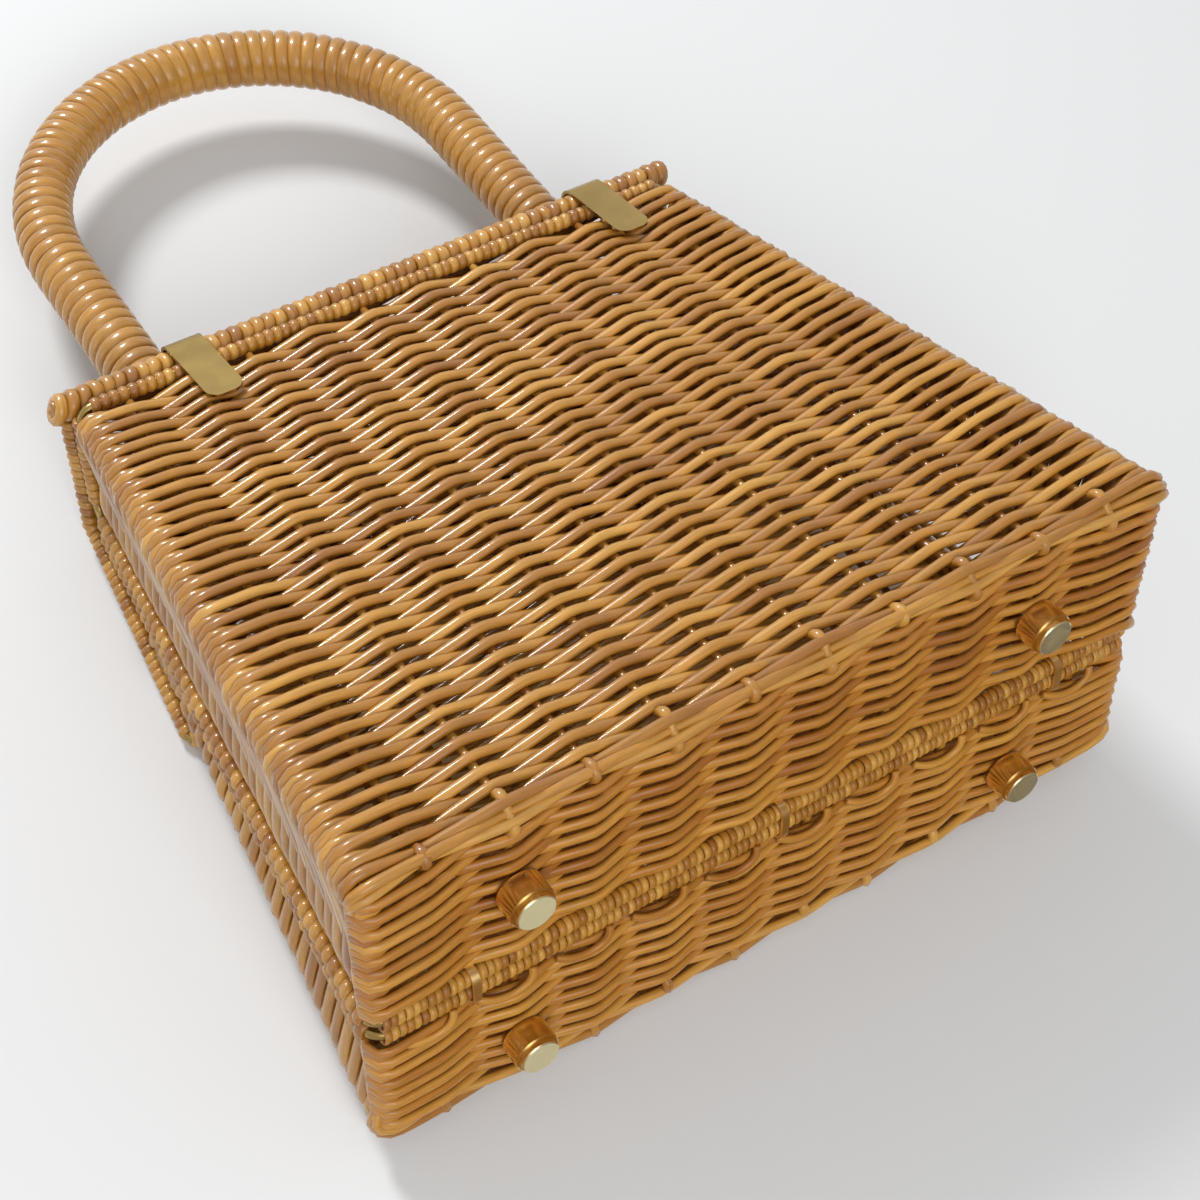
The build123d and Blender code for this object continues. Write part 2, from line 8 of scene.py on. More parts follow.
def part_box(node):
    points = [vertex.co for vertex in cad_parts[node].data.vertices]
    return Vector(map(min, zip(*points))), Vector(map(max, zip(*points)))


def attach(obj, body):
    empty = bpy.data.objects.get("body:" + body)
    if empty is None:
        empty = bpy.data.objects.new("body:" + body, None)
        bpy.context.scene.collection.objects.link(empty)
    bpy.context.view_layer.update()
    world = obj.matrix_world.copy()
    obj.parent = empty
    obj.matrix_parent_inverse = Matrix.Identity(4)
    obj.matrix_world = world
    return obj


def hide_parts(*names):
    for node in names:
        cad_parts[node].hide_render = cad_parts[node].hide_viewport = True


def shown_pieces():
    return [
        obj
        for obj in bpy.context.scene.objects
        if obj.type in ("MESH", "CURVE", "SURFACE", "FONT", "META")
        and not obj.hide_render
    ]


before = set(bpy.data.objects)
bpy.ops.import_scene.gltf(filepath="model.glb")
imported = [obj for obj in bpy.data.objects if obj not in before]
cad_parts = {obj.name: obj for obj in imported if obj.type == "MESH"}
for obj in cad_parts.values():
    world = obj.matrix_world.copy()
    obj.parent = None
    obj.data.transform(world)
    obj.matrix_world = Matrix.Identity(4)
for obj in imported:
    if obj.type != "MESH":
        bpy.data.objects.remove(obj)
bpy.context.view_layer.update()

bpy.ops.object.select_all(action="DESELECT")
chance = np.random.RandomState(7)
MM = 0.001

# Sizes of the real bag, in millimetres, as the solids have them
width_top = 205.0
body_height = 206.0
back_depth_bottom = 60.0
back_depth_top = 44.0
front_depth_bottom = 47.5
front_depth_top = 7.0
front_bow = 7.0
stake_count = 10
stake_margin = 21.0
rim_offset = 2.8

# Places read from the solids
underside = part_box("back_wall")[0].z / MM
width_bottom = 2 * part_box("back_wall")[1].x / MM
seam_y = (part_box("back_rim_winding")[0].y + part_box("front_rim_winding")[1].y) / 2 / MM
roll_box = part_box("lid_roll")
roll_radius = (roll_box[1].z - roll_box[0].z) / 2 / MM
roll_y = (roll_box[0].y + roll_box[1].y) / 2 / MM - seam_y
roll_z = (roll_box[0].z + roll_box[1].z) / 2 / MM - underside
roll_half = roll_box[1].x / MM
flap_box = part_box("flap")
lid_front_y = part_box("lid_top")[0].y / MM - seam_y
lid_top_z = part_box("lid_top")[1].z / MM - underside
lid_thickness = (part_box("lid_top")[1].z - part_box("lid_top")[0].z) / MM
core_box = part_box("handle_core")
wound_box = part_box("handle_winding")

# Cane strands of the weave
strand_half_height = 1.56
strand_half_thick = 1.22
row_pitch = 2.82
first_row = 8.4
last_row = 198.5
weave_wave = 2.8
side_wave = 1.2
side_half_height = 2.3
front_half_height = 1.85
corner_reach = 3.7
weave_inset = 3.8
wale_radius = 1.5
edge_round = 5.0
stake_radius = 1.25
nub_radius = 1.75
nub_lift = 3.9
nub_spacing = 3.1
sample_step = 2.3
strand_sides = 8
row_clearance = 0.6
row_start_offset = -1.0
row_wander = 0.12
row_sag = 0.13
size_spread = (0.95, 1.05)
wale_turn = 7.0
wale_wave = 1.3
floor_pitch = 2.66
floor_turn_up = 6.0
floor_start_offset = -1.5
floor_swell_share = 0.8
sheet_wave = 1.75
sheet_half_thick = 1.05
sheet_margin = 6.0

# Rods and what is wound on them
rim_radius = 2.5
rim_low = rim_radius
rim_high = body_height - rim_radius
seam_wrap = {"pitch": 2.1, "half_thick": 0.45, "lean": 0.14, "segments": 12}
side_wrap = {"pitch": 3.9, "half_thick": 1.1, "lean": 0.25, "segments": 12}
top_wrap = {"pitch": 2.9, "half_thick": 0.9}
roll_wrap = {"pitch": 3.7, "half_thick": 1.7, "lean": 0.3, "segments": 16}
roll_end_half_height = 1.4
roll_end_sides = 16
flap_middle = 2.0
lid_edge_radius = 3.0
lid_edge_wrap = {"pitch": 3.1, "half_thick": 1.1}
flap_edge_radius = 2.7
flap_edge_wrap = {"pitch": 2.9, "half_thick": 1.0}
lid_edge_inset = 4.5
flap_edge_inset = 2.6
core_radius = 3.0
handle_lean = radians(6.5)
handle_foot = 0.3
handle_pitch = 4.75
handle_half_thick = 1.05
cap_height = 0.3


def half_width(z):
    return (width_bottom + (width_top - width_bottom) * z / body_height) / 2


def back_depth(z):
    return back_depth_bottom + (back_depth_top - back_depth_bottom) * z / body_height


def front_depth(z):
    return front_depth_bottom + (front_depth_top - front_depth_bottom) * z / body_height


def front_swell(z):
    return front_bow * max(0.0, 1 - z / body_height)


def no_swell(z):
    return 0.0


# Share of the front wall's bow at a place between its two corners
def bow_share(x, reach):
    return 1 - np.minimum(1, np.abs(x) / reach) ** 3


# Where a stake of a side wall stands, as a share of the way from the seam to the corner
def side_share(stake, stake_total):
    return (stake + 0.55) / (stake_total + 0.35)


# One way for even numbers and the other way for odd ones
def by_turns(number):
    return 1 if number % 2 == 0 else -1


stake_spacing = (width_bottom - 2 * stake_margin) / (stake_count - 1)
stakes = np.array([(i - (stake_count - 1) / 2) * stake_spacing for i in range(stake_count)])


# Smooth a line of samples, ends held
def smooth(values, spread):
    reach = int(3 * spread) + 1
    weights = np.exp(-0.5 * (np.arange(-reach, reach + 1) / spread) ** 2)
    weights /= weights.sum()
    columns = values.reshape(len(values), -1)
    before = 2 * columns[0] - columns[reach:0:-1]
    after = 2 * columns[-1] - columns[-2 : -reach - 2 : -1]
    padded = np.vstack([before, columns, after])
    out = np.stack([np.convolve(c, weights, "valid") for c in padded.T], 1)
    return out.reshape(values.shape)


def unit(vectors):
    return vectors / np.maximum(np.linalg.norm(vectors, axis=1, keepdims=True), 1e-12)


# Even samples along a line of corners, with the way out of the wall at each
def walk(corners, outward, step=sample_step):
    corners = np.array(corners, float)
    lengths = np.linalg.norm(np.diff(corners, axis=0), axis=1)
    marks = np.concatenate([[0], np.cumsum(lengths)])
    count = max(6, int(round(marks[-1] / step)) + 1)
    along = np.linspace(0, marks[-1], count)
    points = np.stack([np.interp(along, marks, corners[:, k]) for k in range(3)], 1)
    piece = np.clip(np.searchsorted(marks, along, "right") - 1, 0, len(lengths) - 1)
    return along, marks, points, np.array(outward, float)[piece]


# One strand: its line, the way out of the wall, its half sizes, and its shade of cane
def strand(points, outward, half_height, half_thick, tone=None):
    if tone is None:
        tone = chance.uniform(0, 1)
    return {
        "points": points,
        "outward": outward,
        "height": half_height,
        "thick": half_thick,
        "tone": tone,
    }


# Mesh of many strands, each a tube with closed ends, with its own shade and length coordinates
def strand_mesh(name, strands, sides=strand_sides, closed=False):
    turn = np.arange(sides) * tau / sides
    places, loops, starts, totals, uvs, tones = [], [], [], [], [], []
    base = 0
    loop_count = 0
    for item in strands:
        p = item["points"]
        n = len(p)
        if closed:
            tangent = unit(np.roll(p, -1, 0) - np.roll(p, 1, 0))
        else:
            tangent = unit(np.gradient(p, axis=0))
        out = item["outward"]
        out = unit(out - tangent * (out * tangent).sum(1, keepdims=True))
        side = np.cross(tangent, out)
        ring = (
            p[:, None, :]
            + out[:, None, :] * np.outer(np.broadcast_to(item["thick"], n), np.cos(turn))[:, :, None]
            + side[:, None, :] * np.outer(np.broadcast_to(item["height"], n), np.sin(turn))[:, :, None]
        )
        places.append(ring.reshape(-1, 3))
        tones.append(np.repeat(np.broadcast_to(item["tone"], n), sides))
        length = np.concatenate([[0], np.cumsum(np.linalg.norm(np.diff(p, axis=0), axis=1))])
        length = length + chance.uniform(0, 500)
        spans = n if closed else n - 1
        i = np.repeat(np.arange(spans), sides)
        j = np.tile(np.arange(sides), spans)
        i2, j2 = (i + 1) % n, (j + 1) % sides
        quads = base + np.stack([i * sides + j, i * sides + j2, i2 * sides + j2, i2 * sides + j], 1)
        loops.append(quads.ravel())
        ahead = length[np.minimum(i + 1, n - 1)]
        u = np.stack([length[i], length[i], ahead, ahead], 1)
        v = np.stack([j, j + 1, j + 1, j], 1) / sides
        uvs.append(np.stack([u, v], 2).reshape(-1, 2))
        starts.append(loop_count + 4 * np.arange(len(quads)))
        totals.append(np.full(len(quads), 4))
        loop_count += 4 * len(quads)
        if not closed:
            first = base + np.arange(sides)[::-1]
            last = base + (n - 1) * sides + np.arange(sides)
            loops += [first, last]
            ends = np.zeros((2 * sides, 2))
            ends[:sides, 0], ends[sides:, 0] = length[0], length[-1]
            uvs.append(ends)
            starts.append(np.array([loop_count, loop_count + sides]))
            totals.append(np.array([sides, sides]))
            loop_count += 2 * sides
        base += n * sides
    places = np.concatenate(places) + np.array([0, seam_y, underside])
    starts, totals = np.concatenate(starts), np.concatenate(totals)
    mesh = bpy.data.meshes.new(name)
    mesh.vertices.add(len(places))
    mesh.vertices.foreach_set("co", (places * MM).ravel())
    mesh.loops.add(loop_count)
    mesh.loops.foreach_set("vertex_index", np.concatenate(loops).astype(np.int32))
    mesh.polygons.add(len(starts))
    mesh.polygons.foreach_set("loop_start", starts.astype(np.int32))
    mesh.polygons.foreach_set("loop_total", totals.astype(np.int32))
    mesh.uv_layers.new(name="strand").data.foreach_set("uv", np.concatenate(uvs).ravel())
    mesh.attributes.new("tone", "FLOAT", "POINT").data.foreach_set("value", np.concatenate(tones))
    mesh.update(calc_edges=True)
    mesh.validate()
    mesh.polygons.foreach_set("use_smooth", np.ones(len(mesh.polygons), bool))
    piece = bpy.data.objects.new(name, mesh)
    bpy.context.scene.collection.objects.link(piece)
    return piece


# Slow wander along a strand
def wander(count, size, every=9):
    knots = chance.normal(0, size, max(3, count // every + 2))
    return smooth(np.interp(np.linspace(0, len(knots) - 1, count), np.arange(len(knots)), knots), 3.0)


# Shade along a strand: one shade for the whole, with slow changes
def shades(count):
    return np.clip(chance.uniform(0.15, 0.85) + wander(count, 0.16, 6), 0, 1)


# A woven row round three runs of wall; it passes outside a stake or inside it by turns
def row_strand(corners, outward, marks_at, row, wave, round_by=2.2, sizes=None, broad=None):
    along, marks, points, out = walk(corners, outward)
    count = len(points)
    spread = round_by / (along[1] - along[0])
    points = smooth(points, spread)
    out = unit(smooth(out, spread * 1.3))
    knots, offsets = marks_at(marks, row, wave)
    offset = np.interp(along, knots, offsets)
    offset = smooth(offset, 1.7 / (along[1] - along[0]))
    offset = offset + wander(count, row_wander)
    points = points + out * offset[:, None]
    points[:, 2] += wander(count, row_sag)
    scale = chance.uniform(*size_spread)
    if sizes:
        half_height, half_thick = sizes
    else:
        sideways = np.clip(np.abs(out[:, 0]), 0, 1) ** 2
        face_height = broad or strand_half_height
        half_height = face_height + (side_half_height - face_height) * sideways
        half_thick = strand_half_thick
    return strand(points, out, half_height * scale, half_thick * scale, shades(count))


# Offsets of a row at the stakes of a side wall, the corner, the broad wall and so on round
def broad_marks(z, side_stakes):
    scale = half_width(z) / half_width(0)

    def marks_at(marks, row, wave):
        parity = by_turns(row)
        knots, offsets = [marks[0]], [row_start_offset]
        side_run = marks[1]
        for k in range(side_stakes):
            knots.append(side_run * side_share(k, side_stakes))
            offsets.append(side_wave * parity * by_turns(k + side_stakes))
        knots.append(marks[1])
        offsets.append(corner_reach)
        middle = (marks[1] + marks[2]) / 2
        for i, s in enumerate(stakes):
            knots.append(middle + s * scale)
            offsets.append(wave * parity * by_turns(i))
        knots.append(marks[2])
        offsets.append(corner_reach)
        for k in reversed(range(side_stakes)):
            knots.append(marks[3] - side_run * side_share(k, side_stakes))
            offsets.append(-side_wave * parity * by_turns(k + side_stakes))
        knots.append(marks[3])
        offsets.append(row_start_offset)
        return np.array(knots), np.array(offsets)

    return marks_at


def back_row_corners(z):
    x = half_width(z) - weave_inset
    y = back_depth(z) - weave_inset
    near = rim_offset + row_clearance
    return [(x, near, z), (x, y, z), (-x, y, z), (-x, near, z)]


back_outward = [(1, 0, 0), (0, 1, 0), (-1, 0, 0)]


def back_shell_strands():
    rows = []
    count = int((last_row - first_row) / row_pitch) + 1
    for r in range(count):
        z = first_row + r * row_pitch
        marks = broad_marks(z, 2)
        rows.append(row_strand(back_row_corners(z), back_outward, marks, r, weave_wave))
    return rows


# Rows of the front shell: the broad wall bows out between its corners
def front_shell_strands():
    rows = []
    count = int((last_row - first_row) / row_pitch) + 1
    for r in range(count):
        z = first_row + r * row_pitch
        x = half_width(z) - weave_inset
        y = -(front_depth(z) - weave_inset)
        near = min(-rim_offset - row_clearance, -0.5 * (rim_offset - y))
        shortest = y + 2.0
        near = max(near, shortest) if shortest < 0 else shortest
        side_stakes = 1 if -y > 16 else 0
        corners = [(x, near, z), (x, y, z), (-x, y, z), (-x, near, z)]
        outward = [(1, 0, 0), (0, -1, 0), (-1, 0, 0)]
        marks = broad_marks(z, side_stakes)
        item = row_strand(corners, outward, marks, r, weave_wave, broad=front_half_height)
        item["points"][:, 1] -= front_swell(z) * bow_share(item["points"][:, 0], x)
        rows.append(item)
    return rows


# Rows round the lower edge of a shell, nearly straight, with the stakes bent over them by turns
def wale_strands(side, depth, swell):
    rows = []
    for level, lean in enumerate((0.0, pi / 4, pi / 2)):
        reach = half_width(0) - weave_inset
        middle = edge_round - weave_inset
        y = depth - edge_round + middle * cos(lean)
        z = edge_round - middle * sin(lean)
        out = (0, side * cos(lean), -sin(lean))
        corners = [
            (reach, side * (y - wale_turn), z),
            (reach, side * y, z),
            (-reach, side * y, z),
            (-reach, side * (y - wale_turn), z),
        ]

        def marks_at(marks, row, wave):
            middle_mark = (marks[1] + marks[2]) / 2
            knots = [marks[0], marks[1]]
            offsets = [0.5, corner_reach]
            for i, s in enumerate(stakes):
                knots.append(middle_mark + s)
                offsets.append(wale_wave - wale_wave * by_turns(i + row))
            knots += [marks[2], marks[3]]
            offsets += [corner_reach, 0.5]
            return np.array(knots), np.array(offsets)

        outward = [(1, 0, -0.3 * sin(lean)), out, (-1, 0, -0.3 * sin(lean))]
        sizes = (wale_radius, wale_radius)
        item = row_strand(corners, outward, marks_at, level, 0, 2.6, sizes)
        item["points"][:, 1] += side * swell * bow_share(item["points"][:, 0], reach)
        rows.append(item)
    return rows


# Stakes: down a broad wall, round the lower edge and along the floor to the seam
def stake_strands(side, depth_at, swell_at):
    rows = []
    for i, s in enumerate(stakes):
        top = last_row + 2.0
        scale = half_width(top) / half_width(0)
        bow_low = swell_at(0) * bow_share(s, half_width(0))
        bow_top = swell_at(top) * bow_share(s, half_width(0))
        foot = depth_at(0) + bow_low
        corners = [
            (s * scale, side * (depth_at(top) + bow_top - weave_inset), top),
            (s, side * (foot - weave_inset), weave_inset),
            (s, side * (rim_offset + 1.0), weave_inset),
        ]
        outward = [(0, side, 0), (0, 0, -1)]
        along, marks, points, out = walk(corners, outward, 0.9)
        spread = 1.0 / (along[1] - along[0])
        points = smooth(points, spread)
        out = unit(smooth(out, 2.2 * spread))
        corner = marks[1]
        knots = [0, corner - wale_turn]
        offsets = [0.0, 0.0]
        for level, place in enumerate((corner - nub_spacing, corner, corner + nub_spacing)):
            knots.append(place)
            offsets.append(-0.3 if (i + level) % 2 else nub_lift)
        knots += [corner + wale_turn, marks[-1]]
        offsets += [0.0, 0.0]
        offset = smooth(np.interp(along, knots, offsets), 0.9 / (along[1] - along[0]))
        points = points + out * offset[:, None]
        keep = np.unique(np.concatenate([
            np.arange(0, len(points), 4),
            np.where(np.abs(along - corner) < 9.0)[0],
            [len(points) - 1],
        ]))
        nub = np.clip(offset[keep] / nub_lift, 0, 1)
        half = stake_radius + (nub_radius - stake_radius) * nub
        rows.append(strand(points[keep], out[keep], half, half, shades(len(keep))))
    return rows


# Corner rods, wound over by the turning rows
def corner_strands(side, depth_at):
    rows = []
    for hand in (1, -1):
        low, high = edge_round, last_row
        start, end = (
            np.array([hand * (half_width(z) - weave_inset), side * (depth_at(z) - weave_inset), z])
            for z in (low, high)
        )
        points = start + (end - start) * np.linspace(0, 1, 24)[:, None]
        out = np.tile([hand, side, 0.0], (24, 1))
        rows.append(strand(points, out, stake_radius, stake_radius))
    return rows


def side_stake_strands(side, depth_at, count):
    rows = []
    for hand in (1, -1):
        for k in range(count):
            line = []
            for z in np.linspace(2.0, last_row, 30):
                near = rim_offset + row_clearance
                far = depth_at(z) - weave_inset
                if far - near < 9:
                    break
                y = near + (far - near) * side_share(k, count)
                line.append((hand * (half_width(z) - weave_inset), side * y, z))
            points = np.array(line)
            out = np.tile([hand, 0.0, 0.0], (len(points), 1))
            rows.append(strand(points, out, stake_radius, stake_radius))
    return rows


# Rows of a floor: along the width, turned up round both ends
def floor_strands(side, depth, swell):
    rows = []
    far = depth - edge_round - 3.2
    near = rim_offset + 3.4
    first = far + swell * floor_swell_share
    count = int((far - near) / floor_pitch) + 1
    for r in range(count + (2 if swell else 0)):
        y = first - r * floor_pitch
        if y < near - 0.1:
            break
        x = half_width(0) - weave_inset
        z = weave_inset
        high = z + floor_turn_up
        corners = [(x, side * y, high), (x, side * y, z), (-x, side * y, z), (-x, side * y, high)]
        outward = [(1, 0, 0), (0, 0, -1), (-1, 0, 0)]
        last = r == count - 1 and not swell

        def marks_at(marks, row, wave):
            middle = (marks[1] + marks[2]) / 2
            knots = [marks[0], marks[1]]
            offsets = [floor_start_offset, corner_reach]
            for i, s in enumerate(stakes):
                knots.append(middle + s)
                offsets.append(wave * by_turns(row) * by_turns(i))
            knots += [marks[2], marks[3]]
            offsets += [corner_reach, floor_start_offset]
            return np.array(knots), np.array(offsets)

        item = row_strand(corners, outward, marks_at, r, weave_wave)
        x_now = item["points"][:, 0]
        if swell:
            share = (y - near) / (first - near)
            bow = bow_share(x_now, half_width(0)) - floor_swell_share
            item["points"][:, 1] += side * swell * bow * max(0, share)
        if last:
            lift = np.cos(pi * (x_now - stakes[0]) / stake_spacing) * by_turns(r)
            dip = np.clip(lift, 0, 1) ** 2
            item["points"][:, 1] -= side * (3.4 * dip - 0.6)
            item["points"][:, 2] -= 1.1 * dip
        rows.append(item)
    return rows


# Turns of cane wound round a straight rod, as rings set side by side
def winding(start, end, radius, pitch, half_thick, lean=0.12, segments=14):
    start, end = np.array(start, float), np.array(end, float)
    run = end - start
    length = np.linalg.norm(run)
    direction = run / length
    helper = np.array([0, 0, 1.0]) if abs(direction[2]) < 0.7 else np.array([0, 1.0, 0])
    across = np.cross(direction, helper)
    across /= np.linalg.norm(across)
    up = np.cross(across, direction)
    rings = []
    at = pitch / 2
    turn = np.arange(segments) * tau / segments
    while at < length - pitch * 0.3:
        wide = pitch * chance.uniform(0.96, 1.04)
        size = radius - half_thick + chance.normal(0, 0.06)
        out = np.cos(turn)[:, None] * across + np.sin(turn)[:, None] * up
        skew = direction * (np.cos(turn + chance.uniform(-0.4, 0.4)) * lean * radius)[:, None]
        points = start + direction * (at + wide / 2 - pitch / 2) + out * size + skew
        rings.append(strand(points, out, wide * 0.53, half_thick))
        at += wide
    return rings


# One long strip of cane wound closely round a bent rod
def long_winding(line, radius, pitch, half_thick, around=26):
    lengths = np.concatenate([[0], np.cumsum(np.linalg.norm(np.diff(line, axis=0), axis=1))])
    turns = lengths[-1] / pitch
    count = int(turns * around)
    along = np.linspace(0, lengths[-1], count)
    centre = np.stack([np.interp(along, lengths, line[:, k]) for k in range(3)], 1)
    tangent = unit(np.gradient(centre, axis=0))
    steady = np.array([0.0, 1.0, 0.0])
    first = steady - tangent * (tangent @ steady)[:, None]
    first = unit(first)
    second = np.cross(tangent, first)
    angle = along / pitch * tau
    out = first * np.cos(angle)[:, None] + second * np.sin(angle)[:, None]
    size = radius - half_thick + smooth(chance.normal(0, 0.16, count), 14)
    points = centre + out * size[:, None]
    tone = np.clip(0.5 + smooth(chance.normal(0, 1.1, count), 16), 0, 1)
    return strand(points, out, pitch * 0.52, half_thick, tone)


# A straight run between two corner points, drawn in at both ends
def drawn_in(start, end, first, last):
    start, end = np.array(start, float), np.array(end, float)
    direction = (end - start) / np.linalg.norm(end - start)
    return start + direction * first, end - direction * last


def rim_corners(side):
    x_low = half_width(rim_low) - rim_radius
    x_high = half_width(rim_high) - rim_radius
    y = side * rim_offset
    return {
        "low": [(-x_low, y, rim_low), (x_low, y, rim_low)],
        "left": [(x_low, y, rim_low), (x_high, y, rim_high)],
        "right": [(-x_low, y, rim_low), (-x_high, y, rim_high)],
        "high": [(-x_high, y, rim_high), (x_high, y, rim_high)],
        "reach": x_high,
    }


# Turns round a seam rim: narrow cane along the bottom, broad cane up both sides
def seam_rim_strands(corners):
    low_start, low_end = drawn_in(*corners["low"], 2.5, 2.5)
    rings = winding(low_start, low_end, rim_radius, **seam_wrap)
    for run in ("left", "right"):
        start, end = drawn_in(*corners[run], 3, 3)
        rings += winding(start, end, rim_radius + 0.2, **side_wrap)
    return rings


def back_rim_strands():
    corners = rim_corners(1)
    reach = corners["reach"]
    back_y = back_depth(rim_high) - rim_radius
    rings = seam_rim_strands(corners)
    start, end = (-reach + 3, back_y, rim_high), (reach - 3, back_y, rim_high)
    rings += winding(start, end, rim_radius, **top_wrap)
    for hand in (1, -1):
        start, end = (hand * reach, rim_offset + 4, rim_high), (hand * reach, back_y - 1, rim_high)
        rings += winding(start, end, rim_radius, **top_wrap)
    return rings


def front_rim_strands():
    corners = rim_corners(-1)
    rings = seam_rim_strands(corners)
    start, end = drawn_in(*corners["high"], 5, 5)
    rings += winding(start, end, rim_radius, **top_wrap)
    return rings


# Hooked ends of the front stakes where they turn over the rim
def hook_strands():
    hooks = []
    for s in stakes:
        line = np.array([
            (s - 3.5, -rim_offset - 1.0, 0.2),
            (s - 3.0, -rim_offset - 3.4, -0.8),
            (s - 1.0, -rim_offset - 5.6, -0.7),
            (s + 3.0, -rim_offset - 6.9, -0.6),
            (s + 8.5, -rim_offset - 6.0, -0.2),
            (s + 12.0, -rim_offset - 4.6, 1.4),
        ])
        fine = np.linspace(0, len(line) - 1, 26)
        points = np.stack([np.interp(fine, np.arange(len(line)), line[:, k]) for k in range(3)], 1)
        points = smooth(points, 2.2)
        out = np.tile([0.0, 0.0, -1.0], (len(points), 1))
        hooks.append(strand(points, out, 1.15, 1.0))
    return hooks


# Rows of the lid's top sheet and of the flap
def sheet_strands(edge_low, edge_high, reach_low, reach_high, out, parity):
    edge_low, edge_high = np.array(edge_low, float), np.array(edge_high, float)
    span = np.linalg.norm(edge_high - edge_low)
    count = int(span / row_pitch)
    rows = []
    for r in range(count + 1):
        share = (r + 0.5) / (count + 1)
        centre = edge_low + (edge_high - edge_low) * share
        reach = reach_low + (reach_high - reach_low) * share
        corners = [centre + np.array([reach, 0, 0]), centre - np.array([reach, 0, 0])]
        along, marks, points, outward = walk(corners, [out])
        scale = reach / (half_width(0) - sheet_margin)
        knots, offsets = [0], [0]
        for i, s in enumerate(stakes[::-1]):
            if abs(s * scale) < reach - 2:
                knots.append(marks[1] / 2 - s * scale)
                offsets.append(-sheet_wave * by_turns(i + r + parity))
        knots.append(marks[1])
        offsets.append(0)
        offset = smooth(np.interp(along, knots, offsets), 0.75) + wander(len(points), 0.1)
        points = points + outward * offset[:, None]
        tone = shades(len(points))
        rows.append(strand(points, outward, strand_half_height, sheet_half_thick, tone))
    for s in stakes:
        low = edge_low + np.array([s * reach_low / (half_width(0) - sheet_margin), 0, 0])
        high = edge_high + np.array([s * reach_high / (half_width(0) - sheet_margin), 0, 0])
        points = low + (high - low) * np.linspace(0, 1, 12)[:, None]
        rows.append(strand(points, np.tile(out, (12, 1)).astype(float), 1.0, 1.0))
    return rows


# A new material with its shader at hand
def new_material(name):
    material = bpy.data.materials.new(name)
    material.use_nodes = True
    tree = material.node_tree
    return material, tree.nodes, tree.links, tree.nodes["Principled BSDF"]


# A node of a material or the world, with the values of its sockets
def add_node(nodes, kind, **values):
    node = nodes.new("ShaderNode" + kind)
    for socket, value in values.items():
        node.inputs[socket.replace("_", " ")].default_value = value
    return node


# Materials of cane: a shade for each strand, fine streaks along it, and a coat of varnish
def cane(name, dark, middle, light, shine=0.75):
    material, nodes, links, shader = new_material(name)
    shade = nodes.new("ShaderNodeAttribute")
    shade.attribute_name = "tone"
    ramp = nodes.new("ShaderNodeValToRGB")
    ramp.color_ramp.elements[0].color = (*dark, 1)
    ramp.color_ramp.elements[1].color = (*light, 1)
    ramp.color_ramp.elements.new(0.5).color = (*middle, 1)
    links.new(shade.outputs["Fac"], ramp.inputs["Fac"])
    uv = nodes.new("ShaderNodeUVMap")
    uv.uv_map = "strand"
    stretch = nodes.new("ShaderNodeMapping")
    stretch.inputs["Scale"].default_value = (0.07, 5.0, 1.0)
    links.new(uv.outputs["UV"], stretch.inputs["Vector"])
    streaks = add_node(nodes, "TexNoise", Scale=1.6, Detail=5.0, Roughness=0.62)
    links.new(stretch.outputs["Vector"], streaks.inputs["Vector"])
    spread = add_node(nodes, "MapRange", From_Min=0.3, From_Max=0.72, To_Min=0.7, To_Max=1.1)
    links.new(streaks.outputs["Fac"], spread.inputs["Value"])
    tint = nodes.new("ShaderNodeMix")
    tint.data_type = "RGBA"
    tint.blend_type = "MULTIPLY"
    tint.inputs["Factor"].default_value = 1.0
    links.new(ramp.outputs["Color"], tint.inputs["A"])
    links.new(spread.outputs["Result"], tint.inputs["B"])
    links.new(tint.outputs["Result"], shader.inputs["Base Color"])
    place = nodes.new("ShaderNodeTexCoord")
    blotch = add_node(nodes, "TexNoise", Scale=160.0, Detail=3.0)
    links.new(place.outputs["Object"], blotch.inputs["Vector"])
    rough = add_node(nodes, "MapRange", To_Min=0.34, To_Max=0.56)
    links.new(blotch.outputs["Fac"], rough.inputs["Value"])
    links.new(rough.outputs["Result"], shader.inputs["Roughness"])
    bump = add_node(nodes, "Bump", Strength=0.25, Distance=0.0002)
    links.new(streaks.outputs["Fac"], bump.inputs["Height"])
    links.new(bump.outputs["Normal"], shader.inputs["Normal"])
    shader.inputs["Coat Weight"].default_value = shine
    shader.inputs["Coat Roughness"].default_value = 0.11
    return material


